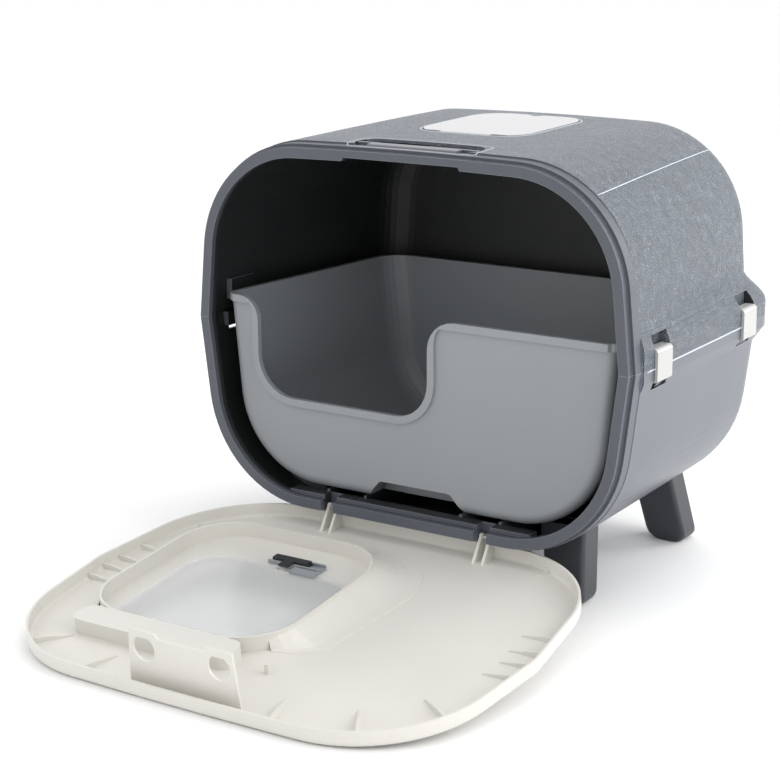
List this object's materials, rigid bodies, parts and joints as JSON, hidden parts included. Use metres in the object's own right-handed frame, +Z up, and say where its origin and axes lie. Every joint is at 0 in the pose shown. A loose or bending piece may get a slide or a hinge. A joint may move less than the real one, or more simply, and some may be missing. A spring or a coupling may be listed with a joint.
{
  "type": "hooded litter box",
  "caption": "Hooded cat litter box with hood and base shells, pull-out tray, drop-down front door with a clear swing flap, side clips, slanted legs, carry handle and roof filter",
  "frame": {"origin": "middle of the bounding box seen from above, on the floor", "axes": "+X to the right seen from the front, +Y from the open front to the back, +Z up"},
  "size_m": [0.539, 0.7366, 0.4726],
  "materials": {
    "hood_shell": "leather-grained",
    "base_shell": "smooth satin",
    "tray": "satin",
    "door": "satin",
    "clear_flap": "clear",
    "steel": "brushed",
    "dark_plastic": "satin",
    "clip": "gloss",
    "leg": "satin",
    "cover": "gloss",
    "pad": "open foam"
  },
  "bodies": {
    "base": {"base": "base_shell", "leg_front_right": "leg", "leg_rear_right": "leg", "leg_front_left": "leg", "leg_rear_left": "leg", "hinge_pin_left": "steel", "hinge_pin_right": "steel", "clip_pins": "steel"},
    "hood": {"hood": "hood_shell", "handle_pins": "steel", "cover_pin": "steel", "filter_pad": "pad", "filter_frame": "tray"},
    "door": {"door_panel": "door", "flap_axle": "steel", "lock_track": "tray"},
    "flap": {"door_flap": "clear_flap", "flap_tab": "tray"},
    "flap_lock": {"flap_lock": "dark_plastic"},
    "tray": {"inner_tray": "tray"},
    "handle": {"carry_handle": "base_shell"},
    "cover": {"filter_cover": "cover"},
    "clip_front_right": {"clip_front_right": "clip"},
    "clip_rear_right": {"clip_rear_right": "clip"},
    "clip_front_left": {"clip_front_left": "clip"},
    "clip_rear_left": {"clip_rear_left": "clip"}
  },
  "joints": [
    {"name": "door_hinge", "type": "hinge", "parent": "base", "child": "door", "pos_m": [0, 0.02377, 0.0695], "axis": [-1, 0, 0], "range_deg": [0, 96.6]},
    {"name": "flap_swing", "type": "hinge", "parent": "door", "child": "flap", "pos_m": [-0.096, -0.2538, 0.01941], "axis": [1, 0, 0], "range_deg": [0, 70]},
    {"name": "lock_slide", "type": "slide", "parent": "door", "child": "flap_lock", "axis": [1, 0, 0], "range_m": [0, 0.01]},
    {"name": "clip_front_right_swing", "type": "hinge", "parent": "base", "child": "clip_front_right", "pos_m": [0.26196, 0.07227, 0.252], "axis": [0, 1, 0], "range_deg": [0, 75]},
    {"name": "clip_rear_right_swing", "type": "hinge", "parent": "base", "child": "clip_rear_right", "pos_m": [0.2591, 0.28627, 0.252], "axis": [0, 1, 0], "range_deg": [0, 75]},
    {"name": "clip_front_left_swing", "type": "hinge", "parent": "base", "child": "clip_front_left", "pos_m": [-0.26196, 0.07227, 0.252], "axis": [0, -1, 0], "range_deg": [0, 75]},
    {"name": "clip_rear_left_swing", "type": "hinge", "parent": "base", "child": "clip_rear_left", "pos_m": [-0.2591, 0.28627, 0.252], "axis": [0, -1, 0], "range_deg": [0, 75]},
    {"name": "tray_slide", "type": "slide", "parent": "base", "child": "tray", "axis": [0, 1, 0], "range_m": [-0.36, 0]},
    {"name": "hood_lift", "type": "slide", "parent": "base", "child": "hood", "axis": [0, 0, 1], "range_m": [0, 0.24]},
    {"name": "handle_flip", "type": "hinge", "parent": "hood", "child": "handle", "pos_m": [0, 0.03327, 0.4615], "axis": [1, 0, 0], "range_deg": [0, 90]},
    {"name": "cover_hinge", "type": "hinge", "parent": "hood", "child": "cover", "pos_m": [0, 0.13629, 0.46808], "axis": [1, 0, 0], "range_deg": [0, 100]}
  ]
}
